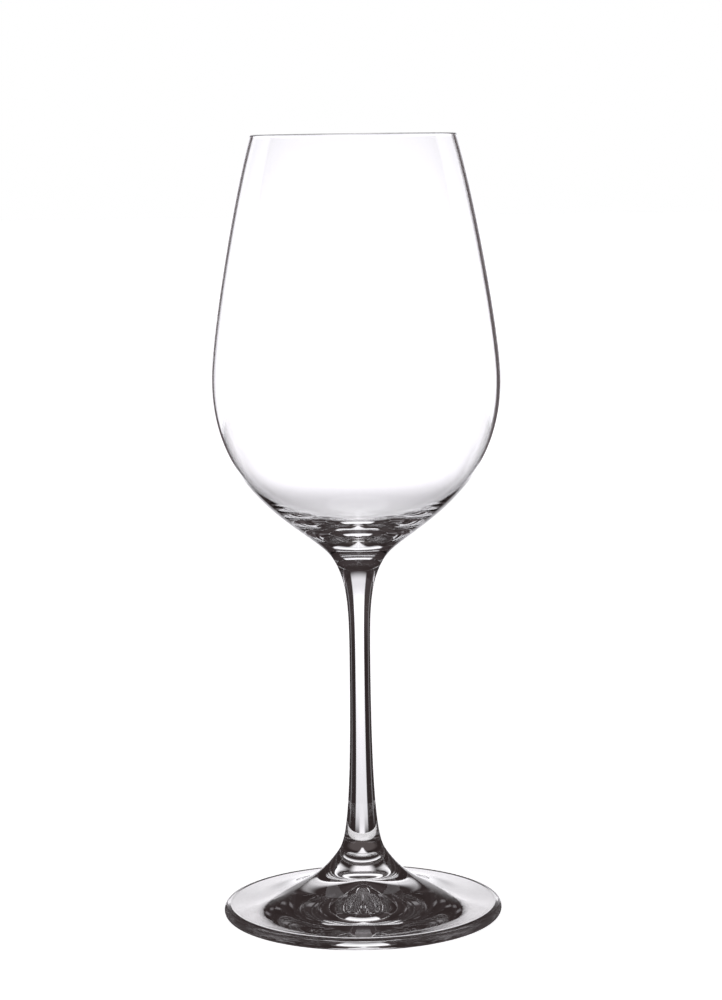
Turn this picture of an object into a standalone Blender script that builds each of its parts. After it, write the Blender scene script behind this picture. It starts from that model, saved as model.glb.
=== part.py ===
"""Stemmed wine glass: a blown bowl, a drawn stem and a spun foot, joined end to end.

Every piece is turned about the Z axis from one closed outline in the X-Z plane.
The foot rests on z = 0. Lengths below are in millimetres and angles in degrees;
MM turns them into metres when a mesh is made.
"""

import bpy
from math import cos, radians, sin, tau

MM = 0.001

# Driving dimensions.
HEIGHT = 222.0
RIM_RADIUS = 28.75
WALL = 1.05
BELLY_RADIUS = 40.5
BELLY_HEIGHT = 153.7
FLOOR_HEIGHT = 110.2
NECK_RADIUS = 7.42
NECK_HEIGHT = 103.0
WAIST_RADIUS = 2.96
WAIST_HEIGHT = 74.0
ANKLE_RADIUS = 6.97
ANKLE_HEIGHT = 18.0
FOOT_RADIUS = 39.9
FOOT_EDGE = 3.1
REST_RING_WIDTH = 2.5
UNDERSIDE_RISE = 6.0
EDGE_CORNER = 1.5

# The pieces are fused in real glass; the solids keep this gap at each joint.
JOINT_GAP = 0.3

# How far the outline leans at its named places.
RIM_LEAN = 16.7        # from upright
NECK_SLOPE = 57.5      # from level
ANKLE_SLOPE = 56.3     # from level
FOOT_SLOPE = 6.2       # from level, where the top meets the edge

# How far each curve runs straight on from its end before it turns.
RIM_PULL = 16.6
BELLY_PULL_UP = 11.8
BELLY_PULL_DOWN = 34.0
FLOOR_PULL = 12.8
INNER_BELLY_PULL = 34.5
NECK_PULL_UP = 10.1
NECK_PULL_DOWN = 7.6
WAIST_PULL_UP = 15.2
WAIST_PULL_DOWN = 49.4
ANKLE_PULL_UP = 3.3
ANKLE_PULL_DOWN = 17.6
FOOT_PULL = 3.5
UNDERSIDE_PULL = 24.0
CROWN_PULL = 4.0

# Facets around the axis, always a multiple of four, and points along a curve.
WIDE_FACETS = 48
STEM_FACETS = 32
LONG_CURVE_STEPS = 15
SHORT_CURVE_STEPS = 12
ROUND_STEPS = 6
SHARP_ANGLE = 35.0

# Clear soda-lime glass, a little cool in the bowl and warmer where it is thick.
BOWL_COLOUR = (0.96, 0.96, 0.98, 1.0)
STEM_COLOUR = (0.93, 0.92, 0.94, 1.0)
FOOT_COLOUR = (0.92, 0.91, 0.92, 1.0)
GLASS_ROUGHNESS = 0.02
GLASS_IOR = 1.52


def along(point, distance, angle):
    """The point at a distance from another, at an angle above level."""
    radius, height = point
    return radius + distance * cos(radians(angle)), height + distance * sin(radians(angle))


def bezier(start, start_pull, end_pull, end, steps):
    """Points on a cubic curve from start to end, both included."""
    points = []
    for step in range(steps + 1):
        t = step / steps
        weights = ((1 - t) ** 3, 3 * t * (1 - t) ** 2, 3 * t * t * (1 - t), t ** 3)
        places = (start, start_pull, end_pull, end)
        radius = sum(w * p[0] for w, p in zip(weights, places))
        height = sum(w * p[1] for w, p in zip(weights, places))
        points.append((radius, height))
    return points


def arc(centre, radius, start_angle, end_angle, steps):
    """Points on a circular arc, both ends included."""
    turn = (end_angle - start_angle) / steps
    return [along(centre, radius, start_angle + turn * step) for step in range(steps + 1)]


def joined(*stretches):
    """One outline from stretches that share their end points."""
    outline = list(stretches[0])
    for stretch in stretches[1:]:
        outline.extend(stretch[1:])
    return outline


def bowl_outline():
    """From the middle of the floor, up inside, over the lip and down outside."""
    lip_radius = WALL / 2
    lip_centre = (RIM_RADIUS - lip_radius, HEIGHT - lip_radius)
    lip_inside = along(lip_centre, lip_radius, 180 + RIM_LEAN)
    lip_outside = along(lip_centre, lip_radius, RIM_LEAN)
    down_wall = RIM_LEAN - 90

    floor = (0.0, FLOOR_HEIGHT)
    inner_belly = (BELLY_RADIUS - WALL, BELLY_HEIGHT)
    basin = bezier(
        floor,
        along(floor, FLOOR_PULL, 0),
        along(inner_belly, INNER_BELLY_PULL, -90),
        inner_belly,
        LONG_CURVE_STEPS,
    )
    inner_wall = bezier(
        inner_belly,
        along(inner_belly, BELLY_PULL_UP, 90),
        along(lip_inside, RIM_PULL, down_wall),
        lip_inside,
        SHORT_CURVE_STEPS,
    )
    lip_up = arc(lip_centre, lip_radius, 180 + RIM_LEAN, 90, ROUND_STEPS // 2)
    lip_down = arc(lip_centre, lip_radius, 90, RIM_LEAN, ROUND_STEPS // 2)

    belly = (BELLY_RADIUS, BELLY_HEIGHT)
    outer_wall = bezier(
        lip_outside,
        along(lip_outside, RIM_PULL, down_wall),
        along(belly, BELLY_PULL_UP, 90),
        belly,
        SHORT_CURVE_STEPS,
    )
    neck = (NECK_RADIUS, NECK_HEIGHT + JOINT_GAP / 2)
    outer_base = bezier(
        belly,
        along(belly, BELLY_PULL_DOWN, -90),
        along(neck, NECK_PULL_UP, NECK_SLOPE),
        neck,
        LONG_CURVE_STEPS,
    )
    joint_face = [neck, (0.0, neck[1])]
    return joined(basin, inner_wall, lip_up, lip_down, outer_wall, outer_base, joint_face)


def stem_outline():
    """From the neck joint, through the narrow waist, to the ankle joint."""
    neck = (NECK_RADIUS, NECK_HEIGHT - JOINT_GAP / 2)
    waist = (WAIST_RADIUS, WAIST_HEIGHT)
    ankle = (ANKLE_RADIUS, ANKLE_HEIGHT + JOINT_GAP / 2)
    upper = bezier(
        neck,
        along(neck, NECK_PULL_DOWN, NECK_SLOPE + 180),
        along(waist, WAIST_PULL_UP, 90),
        waist,
        SHORT_CURVE_STEPS,
    )
    lower = bezier(
        waist,
        along(waist, WAIST_PULL_DOWN, -90),
        along(ankle, ANKLE_PULL_UP, 180 - ANKLE_SLOPE),
        ankle,
        SHORT_CURVE_STEPS,
    )
    return joined([(0.0, neck[1]), neck], upper, lower, [ankle, (0.0, ankle[1])])


def foot_outline():
    """From the ankle joint, out over the top, round the edge and in underneath."""
    ankle = (ANKLE_RADIUS, ANKLE_HEIGHT - JOINT_GAP / 2)
    corner_radius = FOOT_RADIUS - EDGE_CORNER
    upper_corner = (corner_radius, FOOT_EDGE - EDGE_CORNER)
    lower_corner = (corner_radius, EDGE_CORNER)
    edge_top = along(upper_corner, EDGE_CORNER, 90 - FOOT_SLOPE)
    top = bezier(
        ankle,
        along(ankle, ANKLE_PULL_DOWN, -ANKLE_SLOPE),
        along(edge_top, FOOT_PULL, 180 - FOOT_SLOPE),
        edge_top,
        LONG_CURVE_STEPS,
    )
    edge = arc(upper_corner, EDGE_CORNER, 90 - FOOT_SLOPE, 0, ROUND_STEPS // 2)
    edge += arc(lower_corner, EDGE_CORNER, 0, -90, ROUND_STEPS // 2)
    rest_outside = (corner_radius, 0.0)
    rest_inside = (rest_outside[0] - REST_RING_WIDTH, 0.0)
    crown = (0.0, UNDERSIDE_RISE)
    underside = bezier(
        rest_inside,
        along(rest_inside, UNDERSIDE_PULL, 180),
        along(crown, CROWN_PULL, 0),
        crown,
        LONG_CURVE_STEPS,
    )
    return joined([(0.0, ankle[1]), ankle], top, edge, [rest_outside, rest_inside], underside)


def glass_material(name, colour):
    """A clear glass material of the piece's own."""
    material = bpy.data.materials.new(name)
    material.use_nodes = True
    shader = material.node_tree.nodes["Principled BSDF"]
    shader.inputs["Base Color"].default_value = colour
    shader.inputs["Roughness"].default_value = GLASS_ROUGHNESS
    shader.inputs["IOR"].default_value = GLASS_IOR
    shader.inputs["Transmission Weight"].default_value = 1.0
    shader.inputs["Metallic"].default_value = 0.0
    return material


def outline_mesh(name, outline, base_height):
    """The outline as a wire in metres, with its heights counted from the piece's base."""
    points = [(radius * MM, 0.0, (height - base_height) * MM) for radius, height in outline]
    edges = [(index, index + 1) for index in range(len(points) - 1)]
    mesh = bpy.data.meshes.new(name)
    mesh.from_pydata(points, edges, [])
    return mesh


def turned(name, outline, base_height, facets, colour, collection, parent):
    """A solid turned about Z from an outline that starts and ends on the axis."""
    wire = outline_mesh(name + "_outline", outline, base_height)
    blank = bpy.data.objects.new(name + "_blank", wire)
    collection.objects.link(blank)
    screw = blank.modifiers.new("Turn", "SCREW")
    screw.axis = "Z"
    screw.angle = tau
    screw.steps = facets
    screw.render_steps = facets
    screw.use_merge_vertices = True
    screw.merge_threshold = 0.00001

    depsgraph = bpy.context.evaluated_depsgraph_get()
    mesh = bpy.data.meshes.new_from_object(blank.evaluated_get(depsgraph))
    bpy.data.objects.remove(blank, do_unlink=True)
    bpy.data.meshes.remove(wire)
    mesh.name = name
    mesh.shade_smooth()
    mesh.set_sharp_from_angle(angle=radians(SHARP_ANGLE))
    mesh.materials.append(glass_material(name + "_glass", colour))

    piece = bpy.data.objects.new(name, mesh)
    collection.objects.link(piece)
    piece.parent = parent
    piece.location = (0.0, 0.0, base_height * MM)
    return piece


def build():
    for old in list(bpy.data.objects):
        bpy.data.objects.remove(old, do_unlink=True)

    collection = bpy.data.collections.new("wine_glass")
    bpy.context.scene.collection.children.link(collection)
    axis = bpy.data.objects.new("glass_axis", None)
    collection.objects.link(axis)

    turned("bowl", bowl_outline(), NECK_HEIGHT, WIDE_FACETS, BOWL_COLOUR, collection, axis)
    turned("stem", stem_outline(), ANKLE_HEIGHT, STEM_FACETS, STEM_COLOUR, collection, axis)
    turned("foot", foot_outline(), 0.0, WIDE_FACETS, FOOT_COLOUR, collection, axis)


build()
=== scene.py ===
"""The looks of the wine glass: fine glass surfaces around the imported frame, and its studio."""

import bpy
from math import cos, exp, radians, sin, tau
from mathutils import Euler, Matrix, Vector
from types import SimpleNamespace


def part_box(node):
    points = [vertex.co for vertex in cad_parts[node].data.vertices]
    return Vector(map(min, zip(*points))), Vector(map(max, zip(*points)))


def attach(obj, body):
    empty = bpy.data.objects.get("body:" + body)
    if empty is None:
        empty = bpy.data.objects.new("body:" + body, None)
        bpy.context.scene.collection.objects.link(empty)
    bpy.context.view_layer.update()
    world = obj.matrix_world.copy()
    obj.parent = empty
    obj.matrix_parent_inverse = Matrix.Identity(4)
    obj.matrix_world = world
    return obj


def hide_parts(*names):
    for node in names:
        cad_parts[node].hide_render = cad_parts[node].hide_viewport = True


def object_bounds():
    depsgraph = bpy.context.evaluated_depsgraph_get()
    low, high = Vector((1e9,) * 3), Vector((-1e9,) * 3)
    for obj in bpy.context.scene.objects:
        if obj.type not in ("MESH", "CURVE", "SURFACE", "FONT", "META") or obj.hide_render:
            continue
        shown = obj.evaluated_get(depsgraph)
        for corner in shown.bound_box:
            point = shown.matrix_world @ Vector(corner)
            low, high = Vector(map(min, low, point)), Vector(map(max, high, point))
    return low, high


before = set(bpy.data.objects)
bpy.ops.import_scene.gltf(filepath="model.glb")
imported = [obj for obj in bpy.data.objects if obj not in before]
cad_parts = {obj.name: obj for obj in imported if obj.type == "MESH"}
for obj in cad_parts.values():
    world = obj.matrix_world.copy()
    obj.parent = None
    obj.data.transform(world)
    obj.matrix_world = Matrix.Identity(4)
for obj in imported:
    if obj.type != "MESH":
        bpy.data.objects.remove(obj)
cad_low, cad_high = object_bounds()

MM = 0.001

# An outline's point nearer the axis than this is on it: millimetres.
ON_AXIS = 0.001

# Shape of the outline between the sizes that the frame gives: millimetres and degrees.
WALL = 1.05
BELLY_HEIGHT = 153.7
FLOOR_HEIGHT = 110.2
RIM_RADIUS = 28.75
WAIST_RADIUS = 2.96
WAIST_HEIGHT = 74.0
ANKLE_RADIUS = 6.97
FOOT_EDGE = 3.1
REST_RING_WIDTH = 2.5
UNDERSIDE_RISE = 6.0
EDGE_CORNER = 1.5
RIM_LEAN = 16.7
NECK_SLOPE = 57.5
ANKLE_SLOPE = 56.3
FOOT_SLOPE = 6.2

# How far each curve runs straight on from its end before it turns.
RIM_PULL = 16.6
BELLY_PULL_UP = 11.8
BELLY_PULL_DOWN = 34.0
FLOOR_PULL = 12.8
INNER_BELLY_PULL = 34.5
NECK_PULL_UP = 10.1
NECK_PULL_DOWN = 7.6
WAIST_PULL_UP = 15.2
WAIST_PULL_DOWN = 49.4
ANKLE_PULL_UP = 3.3
ANKLE_PULL_DOWN = 17.6
FOOT_PULL = 3.5
UNDERSIDE_PULL = 24.0
CROWN_PULL = 4.0

# How finely the visible surfaces are cut, and from what angle on an edge is sharp.
SHARP_ANGLE = 35.0
FACETS = 256
WALL_STEPS = 96
BASE_STEPS = 96
ROUND_STEPS = 16

# Glass. Its colour, smoothness and surface vary a little in rings that wander round the axis:
# the striae of blown and spun glass. Rates are per metre and ripples are in metres.
GLASS_IOR = 1.52
RING_RATE = 260.0
WANDER_RATE = 22.0
STREAK_DETAIL = 2.0
SMOOTHEST = 0.0
ROUGHEST = 0.004
BOWL_LOOK = SimpleNamespace(clear=(0.996, 0.994, 0.998), tint=(0.984, 0.981, 0.988), ripple=0.000002)
STEM_LOOK = SimpleNamespace(clear=(0.990, 0.985, 0.990), tint=(0.972, 0.964, 0.970), ripple=0.000004)
FOOT_LOOK = SimpleNamespace(clear=(0.990, 0.984, 0.982), tint=(0.968, 0.955, 0.950), ripple=0.000008)

# A fine raised ring just inside the foot's edge, in millimetres.
BEAD_INSET = 1.9
BEAD_WIDTH = 0.35
BEAD_RISE = 0.10

# The camera: its place in glass heights from the foot's centre, its turn in degrees, its
# lens in millimetres, and the nearest thing that it shows, in metres.
CAMERA_LENS = 100.0
CAMERA_DISTANCE = 3.5
CAMERA_HEIGHT = 1.0122
CAMERA_PITCH = 7.715
CAMERA_ROLL = 0.745
CAMERA_YAW = -0.066
CAMERA_NEAR = 0.05

# The studio. Azimuth 0 is straight behind the glass and grows to its right; all in degrees.
# Each area spans some azimuths and elevations and has soft edges. An edge at 99 or 999 lies
# past the end, so the area has no edge there. The later areas lie over the earlier ones, and
# a mirrored one is the same on the left and on the right.
WHITE = (1.0, 1.0, 1.0)
ROOM = (0.027, 0.020, 0.020)
UPPER_ROOM = (0.033, 0.025, 0.025)
CEILING = (0.050, 0.040, 0.041)
FAR_WALLS = (0.042, 0.033, 0.034)
LEFT_WALL = (0.058, 0.047, 0.048)
RIGHT_WALL = (0.048, 0.038, 0.039)
TABLE = (0.095, 0.080, 0.080)
TABLE_GLARE = (1.08, 1.06, 1.10)
REAR_WALL = (0.06, 0.055, 0.056)
AREAS = (
    SimpleNamespace(colour=UPPER_ROOM, mirrored=True, across=(-999, 999), upward=(14, 99), soft=(9, 3)),
    SimpleNamespace(colour=CEILING, mirrored=True, across=(-999, 999), upward=(43, 99), soft=(9, 7)),
    SimpleNamespace(colour=FAR_WALLS, mirrored=True, across=(60, 999), upward=(-9, 13), soft=(15, 2)),
    SimpleNamespace(colour=LEFT_WALL, mirrored=False, across=(-60, 0), upward=(-9, 13), soft=(15, 2)),
    SimpleNamespace(colour=RIGHT_WALL, mirrored=False, across=(0, 60), upward=(-9, 13), soft=(15, 2)),
    SimpleNamespace(colour=TABLE, mirrored=True, across=(-999, 999), upward=(-99, -53), soft=(9, 8)),
    SimpleNamespace(colour=TABLE_GLARE, mirrored=True, across=(-999, 7), upward=(-74, -10), soft=(3, 5)),
    SimpleNamespace(colour=REAR_WALL, mirrored=True, across=(118, 190), upward=(-32, 30), soft=(3, 3)),
)

# Upright strips of light all round, so that the stem and the foot shine from every side.
STRIP_WIDTH = 6.0
STRIP_UPWARD = (-26.0, 14.0)
STRIP_SOFT = (2.0, 4.0)
STRIPS_AT = (45.0, 90.0, 135.0, 180.0)
STRIP = (0.25, 0.24, 0.25)

# Light that has gone through both of the bowl's walls finds a clear, bright surround.
BOTH_WALLS = 3.5
CLEAR = (0.96, 0.955, 0.98)
CLEAR_UPWARD = (-999.0, 13.0)
CLEAR_SOFT = 2.0

# The backdrop behind the glass is brightest in a wide band around its middle.
BACKDROP = SimpleNamespace(across=(-17.0, 18.7), upward=(-25.0, 16.0), soft=(1.5, 7.0))
BACK_MIDDLE = (-1.0, -6.5)
BACK_REACH = (30.0, 6.5)
BACK_HOT = (1.60, 1.58, 1.64)
BACK_EDGE = (0.85, 0.84, 0.87)

# Upright cards behind and beside the bowl, out of the camera's sight, in metres. The dark
# ones draw its edges. The glowing ones outside them keep the glass within the edges
# clear, and the one above the bowl lights its rim.
CARD_BEHIND = 0.060
DARK_UPWARD = (0.113, 0.300)
GLOW_UPWARD = (0.124, 0.300)
BLACK = (0.0, 0.0, 0.0)
DARK = (0.110, 0.092, 0.096)
GLOW = (0.95, 0.94, 0.98)
RIM_UPWARD = (0.234, 0.420)
CARDS = (
    SimpleNamespace(name="rim_glow_card", across=(-0.0485, 0.0500), upward=RIM_UPWARD, shine=GLOW),
    SimpleNamespace(name="left_dark_card", across=(-0.066, -0.0485), upward=DARK_UPWARD, shine=DARK),
    SimpleNamespace(name="left_glow_card", across=(-0.250, -0.066), upward=GLOW_UPWARD, shine=GLOW),
    SimpleNamespace(name="right_dark_card", across=(0.0500, 0.080), upward=DARK_UPWARD, shine=DARK),
    SimpleNamespace(name="right_glow_card", across=(0.080, 0.250), upward=GLOW_UPWARD, shine=GLOW),
)

# Light bounces many times inside the foot before it comes out.
MOST_BOUNCES = 64

FLOOR_SIZE = 12.0
FLOOR_DROP = 0.0002


def frame_sizes():
    """The main sizes, in millimetres, read off the CAD nodes' boxes."""
    bowl_low, bowl_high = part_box("bowl")
    stem_low, stem_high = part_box("stem")
    foot_low, foot_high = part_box("foot")
    return SimpleNamespace(
        height=bowl_high.z / MM,
        belly_radius=bowl_high.x / MM,
        neck_radius=stem_high.x / MM,
        neck_height=(bowl_low.z + stem_high.z) / 2 / MM,
        ankle_height=(stem_low.z + foot_high.z) / 2 / MM,
        foot_radius=foot_high.x / MM,
    )


def along(point, distance, angle):
    """The point at a distance from another, at an angle above level."""
    radius, height = point
    return radius + distance * cos(radians(angle)), height + distance * sin(radians(angle))


def bezier(start, start_pull, end_pull, end, steps):
    """Points on a cubic curve from start to end, both included."""
    points = []
    for step in range(steps + 1):
        t = step / steps
        weights = ((1 - t) ** 3, 3 * t * (1 - t) ** 2, 3 * t * t * (1 - t), t ** 3)
        places = (start, start_pull, end_pull, end)
        radius = sum(w * p[0] for w, p in zip(weights, places))
        height = sum(w * p[1] for w, p in zip(weights, places))
        points.append((radius, height))
    return points


def arc(centre, radius, start_angle, end_angle, steps):
    """Points on a circular arc, both ends included."""
    turn = (end_angle - start_angle) / steps
    return [along(centre, radius, start_angle + turn * step) for step in range(steps + 1)]


def joined(*stretches):
    """One outline from stretches that share their end points."""
    outline = list(stretches[0])
    for stretch in stretches[1:]:
        outline.extend(stretch[1:])
    return outline


def bowl_outline(sizes):
    """From the middle of the floor, up inside, over the lip and down outside."""
    lip_radius = WALL / 2
    lip_centre = (RIM_RADIUS - lip_radius, sizes.height - lip_radius)
    lip_inside = along(lip_centre, lip_radius, 180 + RIM_LEAN)
    lip_outside = along(lip_centre, lip_radius, RIM_LEAN)
    down_wall = RIM_LEAN - 90

    floor = (0.0, FLOOR_HEIGHT)
    inner_belly = (sizes.belly_radius - WALL, BELLY_HEIGHT)
    basin = bezier(
        floor,
        along(floor, FLOOR_PULL, 0),
        along(inner_belly, INNER_BELLY_PULL, -90),
        inner_belly,
        BASE_STEPS,
    )
    inner_wall = bezier(
        inner_belly,
        along(inner_belly, BELLY_PULL_UP, 90),
        along(lip_inside, RIM_PULL, down_wall),
        lip_inside,
        WALL_STEPS,
    )
    lip_up = arc(lip_centre, lip_radius, 180 + RIM_LEAN, 90, ROUND_STEPS // 2)
    lip_down = arc(lip_centre, lip_radius, 90, RIM_LEAN, ROUND_STEPS // 2)

    belly = (sizes.belly_radius, BELLY_HEIGHT)
    outer_wall = bezier(
        lip_outside,
        along(lip_outside, RIM_PULL, down_wall),
        along(belly, BELLY_PULL_UP, 90),
        belly,
        WALL_STEPS,
    )
    neck = (sizes.neck_radius, sizes.neck_height)
    outer_base = bezier(
        belly,
        along(belly, BELLY_PULL_DOWN, -90),
        along(neck, NECK_PULL_UP, NECK_SLOPE),
        neck,
        BASE_STEPS,
    )
    joint_face = [neck, (0.0, neck[1])]
    return joined(basin, inner_wall, lip_up, lip_down, outer_wall, outer_base, joint_face)


def stem_outline(sizes):
    """From the neck joint, through the narrow waist, to the ankle joint."""
    neck = (sizes.neck_radius, sizes.neck_height)
    waist = (WAIST_RADIUS, WAIST_HEIGHT)
    ankle = (ANKLE_RADIUS, sizes.ankle_height)
    upper = bezier(
        neck,
        along(neck, NECK_PULL_DOWN, NECK_SLOPE + 180),
        along(waist, WAIST_PULL_UP, 90),
        waist,
        WALL_STEPS,
    )
    lower = bezier(
        waist,
        along(waist, WAIST_PULL_DOWN, -90),
        along(ankle, ANKLE_PULL_UP, 180 - ANKLE_SLOPE),
        ankle,
        WALL_STEPS,
    )
    return joined([(0.0, neck[1]), neck], upper, lower, [ankle, (0.0, ankle[1])])


def beaded(top, bead_radius):
    """The foot's top with a fine raised ring at this radius."""
    return [(r, z + BEAD_RISE * exp(-(((r - bead_radius) / BEAD_WIDTH) ** 2))) for r, z in top]


def foot_outline(sizes):
    """From the ankle joint, out over the top, round the edge and in underneath."""
    ankle = (ANKLE_RADIUS, sizes.ankle_height)
    corner_radius = sizes.foot_radius - EDGE_CORNER
    upper_corner = (corner_radius, FOOT_EDGE - EDGE_CORNER)
    lower_corner = (corner_radius, EDGE_CORNER)
    edge_top = along(upper_corner, EDGE_CORNER, 90 - FOOT_SLOPE)
    top = bezier(
        ankle,
        along(ankle, ANKLE_PULL_DOWN, -ANKLE_SLOPE),
        along(edge_top, FOOT_PULL, 180 - FOOT_SLOPE),
        edge_top,
        BASE_STEPS,
    )
    top = beaded(top, sizes.foot_radius - BEAD_INSET)
    edge = arc(upper_corner, EDGE_CORNER, 90 - FOOT_SLOPE, 0, ROUND_STEPS // 2)
    edge += arc(lower_corner, EDGE_CORNER, 0, -90, ROUND_STEPS // 2)
    rest_outside = (corner_radius, 0.0)
    rest_inside = (rest_outside[0] - REST_RING_WIDTH, 0.0)
    crown = (0.0, UNDERSIDE_RISE)
    underside = bezier(
        rest_inside,
        along(rest_inside, UNDERSIDE_PULL, 180),
        along(crown, CROWN_PULL, 0),
        crown,
        BASE_STEPS,
    )
    return joined([(0.0, ankle[1]), ankle], top, edge, [rest_outside, rest_inside], underside)


def turned(name, outline, joint_heights):
    """A closed surface turned about Z; its flat joint faces take the second material slot."""
    verts = []
    rings = []
    for radius, height in outline:
        if radius < ON_AXIS:
            rings.append([len(verts)] * FACETS)
            verts.append((0.0, 0.0, height * MM))
            continue
        rings.append(list(range(len(verts), len(verts) + FACETS)))
        for facet in range(FACETS):
            turn = tau * facet / FACETS
            verts.append((radius * cos(turn) * MM, radius * sin(turn) * MM, height * MM))

    faces = []
    slots = []
    for row, (ring, next_ring) in enumerate(zip(rings, rings[1:])):
        heights = (outline[row][1], outline[row + 1][1])
        is_joint = any(heights == (joint, joint) for joint in joint_heights)
        for facet in range(FACETS):
            beside = (facet + 1) % FACETS
            corners = [ring[facet], next_ring[facet], next_ring[beside], ring[beside]]
            corners = list(dict.fromkeys(corners))
            faces.append(corners)
            slots.append(1 if is_joint else 0)

    mesh = bpy.data.meshes.new(name)
    mesh.from_pydata(verts, [], faces)
    mesh.validate()
    mesh.polygons.foreach_set("material_index", slots)
    mesh.shade_smooth()
    mesh.set_sharp_from_angle(angle=radians(SHARP_ANGLE))
    piece = bpy.data.objects.new(name, mesh)
    bpy.context.scene.collection.objects.link(piece)
    return piece


def striae(tree):
    """Noise drawn out into rings round the glass's axis, which wander a little."""
    place = tree.nodes.new("ShaderNodeTexCoord").outputs["Object"]
    split = tree.nodes.new("ShaderNodeSeparateXYZ")
    tree.links.new(place, split.inputs[0])
    x, y, z = split.outputs
    square = number(tree, "ADD", number(tree, "MULTIPLY", x, x), number(tree, "MULTIPLY", y, y))
    radius = number(tree, "SQRT", square)
    outward = number(tree, "MULTIPLY", number(tree, "ADD", radius, z), RING_RATE)
    join = tree.nodes.new("ShaderNodeCombineXYZ")
    tree.links.new(outward, join.inputs["X"])
    tree.links.new(number(tree, "MULTIPLY", x, WANDER_RATE), join.inputs["Y"])
    tree.links.new(number(tree, "MULTIPLY", y, WANDER_RATE), join.inputs["Z"])
    noise = tree.nodes.new("ShaderNodeTexNoise")
    noise.inputs["Scale"].default_value = 1.0
    noise.inputs["Detail"].default_value = STREAK_DETAIL
    tree.links.new(join.outputs[0], noise.inputs["Vector"])
    return noise.outputs[0]


def glass_material(name, look):
    """Clear glass whose striae are a touch darker, rougher and raised."""
    material = bpy.data.materials.new(name)
    material.use_nodes = True
    tree = material.node_tree
    shader = tree.nodes["Principled BSDF"]
    shader.inputs["IOR"].default_value = GLASS_IOR
    shader.inputs["Transmission Weight"].default_value = 1.0

    streak = striae(tree)
    tree.links.new(mixed(tree, streak, look.clear, look.tint), shader.inputs["Base Color"])
    haze = tree.nodes.new("ShaderNodeMapRange")
    tree.links.new(streak, haze.inputs["Value"])
    haze.inputs["To Min"].default_value = SMOOTHEST
    haze.inputs["To Max"].default_value = ROUGHEST
    tree.links.new(haze.outputs["Result"], shader.inputs["Roughness"])
    bump = tree.nodes.new("ShaderNodeBump")
    bump.inputs["Distance"].default_value = look.ripple
    tree.links.new(streak, bump.inputs["Height"])
    tree.links.new(bump.outputs["Normal"], shader.inputs["Normal"])
    return material


def joint_material():
    """Fused glass has no surface at a joint, so light goes straight through it."""
    material = bpy.data.materials.new("fused_joint")
    material.use_nodes = True
    nodes = material.node_tree.nodes
    nodes.clear()
    clear = nodes.new("ShaderNodeBsdfTransparent")
    output = nodes.new("ShaderNodeOutputMaterial")
    material.node_tree.links.new(clear.outputs[0], output.inputs["Surface"])
    return material


def make_glass(sizes):
    joint = joint_material()
    neck = sizes.neck_height
    ankle = sizes.ankle_height
    plans = (
        ("bowl", bowl_outline(sizes), (neck,), BOWL_LOOK),
        ("stem", stem_outline(sizes), (neck, ankle), STEM_LOOK),
        ("foot", foot_outline(sizes), (ankle,), FOOT_LOOK),
    )
    for node, outline, joints, look in plans:
        piece = turned(node + "_surface", outline, joints)
        piece.data.materials.append(glass_material(node + "_clear_glass", look))
        piece.data.materials.append(joint)
        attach(piece, "root")
        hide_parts(node)


def make_camera():
    height = cad_high.z
    camera = bpy.data.objects.new("camera", bpy.data.cameras.new("camera"))
    camera.data.lens = CAMERA_LENS
    camera.location = (0.0, -CAMERA_DISTANCE * height, CAMERA_HEIGHT * height)
    level = Euler((radians(90 - CAMERA_PITCH), 0.0, radians(CAMERA_YAW)), "XYZ").to_matrix()
    roll = Euler((0.0, 0.0, -radians(CAMERA_ROLL)), "XYZ").to_matrix()
    camera.rotation_euler = (level @ roll).to_euler("XYZ")
    camera.data.clip_start = CAMERA_NEAR
    bpy.context.scene.collection.objects.link(camera)
    bpy.context.scene.camera = camera


def number(tree, operation, *values):
    """A Math node of this operation; each value is a socket or a plain number."""
    node = tree.nodes.new("ShaderNodeMath")
    node.operation = operation
    for socket, value in zip(node.inputs, values):
        if isinstance(value, bpy.types.NodeSocket):
            tree.links.new(value, socket)
        else:
            socket.default_value = value
    return node.outputs["Value"]


def step_up(tree, value, start, end):
    """0 below start, 1 above end, and smooth between them."""
    node = tree.nodes.new("ShaderNodeMapRange")
    node.interpolation_type = "SMOOTHSTEP"
    tree.links.new(value, node.inputs["Value"])
    node.inputs["From Min"].default_value = start
    node.inputs["From Max"].default_value = end
    return node.outputs["Result"]


def window(tree, value, low, high, soft):
    """1 between low and high, with edges that are soft by this much on each side."""
    above_low = step_up(tree, value, low - soft, low + soft)
    above_high = step_up(tree, value, high - soft, high + soft)
    return number(tree, "SUBTRACT", above_low, above_high)


def hump(tree, value, centre, reach):
    """1 at the centre, fading like a bell over this reach."""
    off = number(tree, "DIVIDE", number(tree, "SUBTRACT", value, centre), reach)
    fade = number(tree, "MULTIPLY", off, off)
    return number(tree, "EXPONENT", number(tree, "MULTIPLY", fade, -1.0))


def mixed(tree, factor, first, second):
    """The first colour where factor is 0, the second where it is 1."""
    node = tree.nodes.new("ShaderNodeMix")
    node.data_type = "RGBA"
    tree.links.new(factor, node.inputs["Factor"])
    colour_inputs = [socket for socket in node.inputs if socket.type == "RGBA"]
    for socket, colour in zip(colour_inputs, (first, second)):
        if isinstance(colour, bpy.types.NodeSocket):
            tree.links.new(colour, socket)
        else:
            socket.default_value = (*colour, 1.0)
    return next(socket for socket in node.outputs if socket.type == "RGBA")


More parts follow.
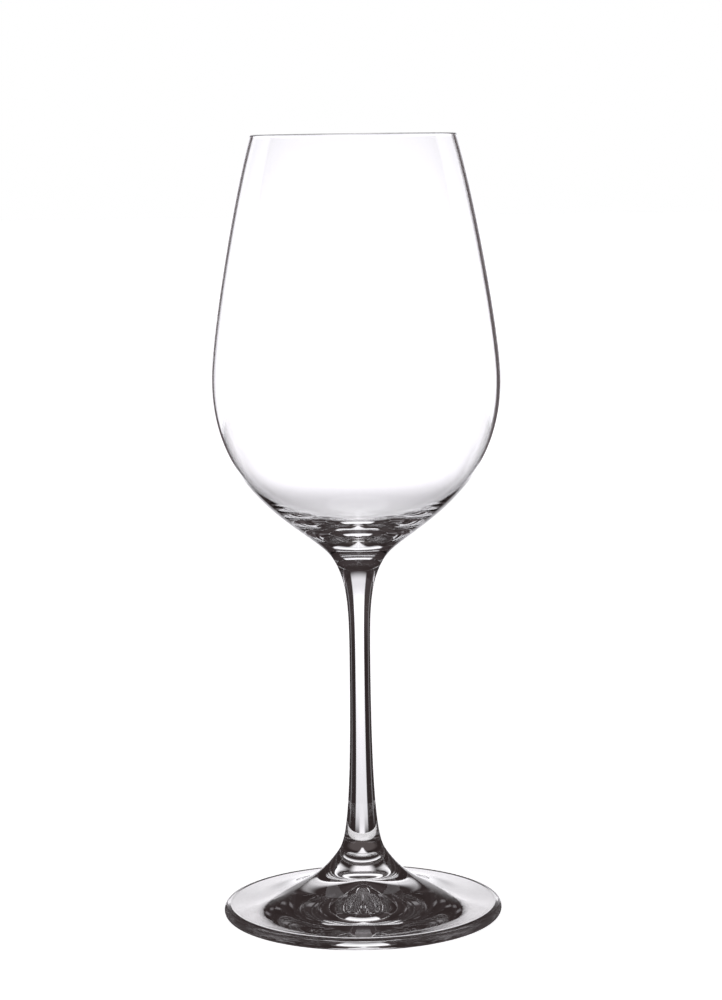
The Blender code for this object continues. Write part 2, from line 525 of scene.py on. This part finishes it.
def sky_angles(tree):
    """The sky's azimuth, from behind the glass to its right, and its elevation, in degrees."""
    direction = tree.nodes.new("ShaderNodeTexCoord").outputs["Generated"]
    split = tree.nodes.new("ShaderNodeSeparateXYZ")
    tree.links.new(direction, split.inputs[0])
    azimuth = number(tree, "ARCTAN2", split.outputs["X"], split.outputs["Y"])
    elevation = number(tree, "ARCSINE", split.outputs["Z"])
    return number(tree, "DEGREES", azimuth), number(tree, "DEGREES", elevation)


def back_light(tree, azimuth, elevation):
    """The lit backdrop's colour: brightest at its middle."""
    across = hump(tree, azimuth, BACK_MIDDLE[0], BACK_REACH[0])
    upward = hump(tree, elevation, BACK_MIDDLE[1], BACK_REACH[1])
    return mixed(tree, number(tree, "MULTIPLY", across, upward), BACK_EDGE, BACK_HOT)


def covered(tree, azimuth, elevation, area):
    """1 inside an area of the sky, 0 outside it."""
    across = window(tree, azimuth, *area.across, area.soft[0])
    upward = window(tree, elevation, *area.upward, area.soft[1])
    return number(tree, "MULTIPLY", across, upward)


def through_bowl(tree):
    """1 for light that has gone through both of the bowl's walls, 0 for other light."""
    crossings = tree.nodes.new("ShaderNodeLightPath").outputs["Transmission Depth"]
    return number(tree, "GREATER_THAN", crossings, BOTH_WALLS)


def make_studio():
    """Areas of light in a dark room; the camera itself sees plain white all round."""
    world = bpy.data.worlds.new("studio")
    world.use_nodes = True
    tree = world.node_tree
    azimuth, elevation = sky_angles(tree)
    either_side = number(tree, "ABSOLUTE", azimuth)

    light = ROOM
    for area in AREAS:
        around = either_side if area.mirrored else azimuth
        light = mixed(tree, covered(tree, around, elevation, area), light, area.colour)
    for middle in STRIPS_AT:
        across = (middle - STRIP_WIDTH / 2, middle + STRIP_WIDTH / 2)
        strip = SimpleNamespace(across=across, upward=STRIP_UPWARD, soft=STRIP_SOFT)
        light = mixed(tree, covered(tree, either_side, elevation, strip), light, STRIP)
    below = window(tree, elevation, *CLEAR_UPWARD, CLEAR_SOFT)
    light = mixed(tree, number(tree, "MULTIPLY", through_bowl(tree), below), light, CLEAR)
    lit = covered(tree, azimuth, elevation, BACKDROP)
    light = mixed(tree, lit, light, back_light(tree, azimuth, elevation))

    is_camera = tree.nodes.new("ShaderNodeLightPath").outputs["Is Camera Ray"]
    light = mixed(tree, is_camera, light, WHITE)
    tree.links.new(light, tree.nodes["Background"].inputs["Color"])
    bpy.context.scene.world = world


def sheet(name, corners):
    """A flat four-cornered sheet."""
    mesh = bpy.data.meshes.new(name)
    mesh.from_pydata(corners, [], [(0, 1, 2, 3)])
    piece = bpy.data.objects.new(name, mesh)
    bpy.context.scene.collection.objects.link(piece)
    return piece


def make_floor():
    """A pale floor that shines evenly, so the glass stands on it without a shadow."""
    size = FLOOR_SIZE / 2
    corners = [(-size, -size, 0.0), (size, -size, 0.0), (size, size, 0.0), (-size, size, 0.0)]
    floor = sheet("floor", corners)
    floor.location.z = -FLOOR_DROP

    material = bpy.data.materials.new("pale_floor")
    material.use_nodes = True
    shader = material.node_tree.nodes["Principled BSDF"]
    shader.inputs["Base Color"].default_value = (*WHITE, 1.0)
    shader.inputs["Emission Color"].default_value = (*WHITE, 1.0)
    shader.inputs["Emission Strength"].default_value = 1.0
    floor.data.materials.append(material)

    floor.visible_diffuse = False
    floor.visible_glossy = False
    floor.visible_transmission = False
    floor.visible_shadow = False


def make_card(card):
    """An upright card that only shows in the glass."""
    left, right = card.across
    low, high = card.upward
    back = CARD_BEHIND
    corners = [(left, back, low), (right, back, low), (right, back, high), (left, back, high)]
    piece = sheet(card.name, corners)

    material = bpy.data.materials.new(card.name + "_face")
    material.use_nodes = True
    shader = material.node_tree.nodes["Principled BSDF"]
    shader.inputs["Base Color"].default_value = (*BLACK, 1.0)
    shader.inputs["Emission Color"].default_value = (*card.shine, 1.0)
    shader.inputs["Emission Strength"].default_value = 1.0
    tree = material.node_tree
    nothing = tree.nodes.new("ShaderNodeBsdfTransparent")
    either = tree.nodes.new("ShaderNodeMixShader")
    tree.links.new(through_bowl(tree), either.inputs[0])
    tree.links.new(shader.outputs[0], either.inputs[1])
    tree.links.new(nothing.outputs[0], either.inputs[2])
    tree.links.new(either.outputs[0], tree.nodes["Material Output"].inputs["Surface"])
    piece.data.materials.append(material)

    piece.visible_camera = False
    piece.visible_shadow = False


def render_limits():
    scene = bpy.context.scene
    scene.view_settings.view_transform = "Standard"
    scene.cycles.max_bounces = MOST_BOUNCES
    scene.cycles.transmission_bounces = MOST_BOUNCES
    scene.cycles.glossy_bounces = MOST_BOUNCES
    scene.cycles.transparent_max_bounces = MOST_BOUNCES


make_glass(frame_sizes())
make_camera()
make_studio()
make_floor()
for card in CARDS:
    make_card(card)
render_limits()
